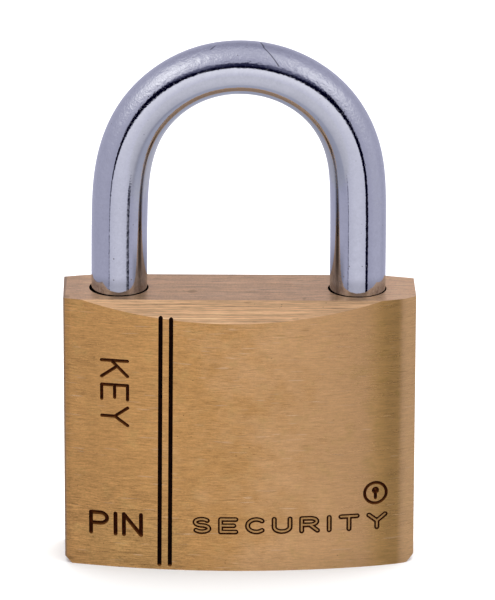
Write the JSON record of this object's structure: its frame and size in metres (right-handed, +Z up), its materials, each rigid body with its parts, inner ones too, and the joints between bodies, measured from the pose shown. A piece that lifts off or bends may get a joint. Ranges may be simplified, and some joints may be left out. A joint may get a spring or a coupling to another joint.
{
  "type": "padlock",
  "caption": "Solid brass padlock with a chromed steel shackle; the key cylinder turns a cam that draws two bolts out of the shackle's notches.",
  "frame": {"origin": "middle of the body's underside, on the axis of the key cylinder", "axes": "+Z up from the keyhole face to the shackle; -Y out of the marked front face; +X to the heel leg, the captive one"},
  "size_m": [0.04, 0.013, 0.0615],
  "materials": {
    "brass_body": "brushed along the width, with soft wear",
    "brass_plug": "fine turned",
    "chromed_steel": "polished, lightly pitted",
    "hard_steel": "ground",
    "spring_steel": "drawn wire"
  },
  "bodies": {
    "body": {"body": "brass_body", "bolt_bore_cap": "brass_body", "chamber_cap_1": "brass_body", "chamber_cap_2": "brass_body", "chamber_cap_3": "brass_body", "chamber_cap_4": "brass_body", "chamber_cap_5": "brass_body", "driver_spring_1": "spring_steel", "driver_spring_2": "spring_steel", "driver_spring_3": "spring_steel", "driver_spring_4": "spring_steel", "driver_spring_5": "spring_steel", "shackle_spring": "spring_steel", "shackle_retaining_pin": "hard_steel", "plug_retaining_pin": "hard_steel"},
    "shackle": {"shackle": "chromed_steel"},
    "plug": {"plug": "brass_plug", "cam": "hard_steel"},
    "bolt_toe": {"bolt_toe": "hard_steel"},
    "bolt_heel": {"bolt_heel": "hard_steel"},
    "driver_pin_1": {"driver_pin_1": "hard_steel"},
    "driver_pin_2": {"driver_pin_2": "hard_steel"},
    "driver_pin_3": {"driver_pin_3": "hard_steel"},
    "driver_pin_4": {"driver_pin_4": "hard_steel"},
    "driver_pin_5": {"driver_pin_5": "hard_steel"},
    "key_pin_1": {"key_pin_1": "brass_plug"},
    "key_pin_2": {"key_pin_2": "brass_plug"},
    "key_pin_3": {"key_pin_3": "brass_plug"},
    "key_pin_4": {"key_pin_4": "brass_plug"},
    "key_pin_5": {"key_pin_5": "brass_plug"}
  },
  "joints": [
    {"name": "plug_turn", "type": "hinge", "parent": "body", "child": "plug", "pos_m": [0, 0, 0.0003], "axis": [0, 0, 1], "range_deg": [-90, 0]},
    {"name": "shackle_lift", "type": "slide", "parent": "body", "child": "shackle", "axis": [0, 0, 1], "range_m": [0, 0.0109], "deforming": ["shackle_spring"]},
    {"name": "bolt_toe_slide", "type": "slide", "parent": "body", "child": "bolt_toe", "axis": [-1, 0, 0], "range_m": [0, 0.0013]},
    {"name": "bolt_heel_slide", "type": "slide", "parent": "body", "child": "bolt_heel", "axis": [1, 0, 0], "range_m": [0, 0.0013]},
    {"name": "tumbler_driver_1", "type": "slide", "parent": "body", "child": "driver_pin_1", "axis": [-1, 0, 0], "range_m": [0, 0.0016], "stiffness_N_per_m": 150, "springref_m": -0.003, "deforming": ["driver_spring_1"]},
    {"name": "tumbler_driver_2", "type": "slide", "parent": "body", "child": "driver_pin_2", "axis": [-1, 0, 0], "range_m": [0, 0.0016], "stiffness_N_per_m": 150, "springref_m": -0.003, "deforming": ["driver_spring_2"]},
    {"name": "tumbler_driver_3", "type": "slide", "parent": "body", "child": "driver_pin_3", "axis": [-1, 0, 0], "range_m": [0, 0.0016], "stiffness_N_per_m": 150, "springref_m": -0.003, "deforming": ["driver_spring_3"]},
    {"name": "tumbler_driver_4", "type": "slide", "parent": "body", "child": "driver_pin_4", "axis": [-1, 0, 0], "range_m": [0, 0.0016], "stiffness_N_per_m": 150, "springref_m": -0.003, "deforming": ["driver_spring_4"]},
    {"name": "tumbler_driver_5", "type": "slide", "parent": "body", "child": "driver_pin_5", "axis": [-1, 0, 0], "range_m": [0, 0.0016], "stiffness_N_per_m": 150, "springref_m": -0.003, "deforming": ["driver_spring_5"]},
    {"name": "tumbler_key_pin_1", "type": "slide", "parent": "plug", "child": "key_pin_1", "axis": [0, 1, 0], "range_m": [0, 0.0024]},
    {"name": "tumbler_key_pin_2", "type": "slide", "parent": "plug", "child": "key_pin_2", "axis": [0, 1, 0], "range_m": [0, 0.0014]},
    {"name": "tumbler_key_pin_3", "type": "slide", "parent": "plug", "child": "key_pin_3", "axis": [0, 1, 0], "range_m": [0, 0.0019]},
    {"name": "tumbler_key_pin_4", "type": "slide", "parent": "plug", "child": "key_pin_4", "axis": [0, 1, 0], "range_m": [0, 0.0009]},
    {"name": "tumbler_key_pin_5", "type": "slide", "parent": "plug", "child": "key_pin_5", "axis": [0, 1, 0], "range_m": [0, 0.0021]}
  ],
  "couplings": [
    {"joint": "plug_turn", "follows": "bolt_toe_slide", "rad_per_m": -1208.3},
    {"joint": "bolt_heel_slide", "follows": "bolt_toe_slide", "ratio": 1}
  ]
}
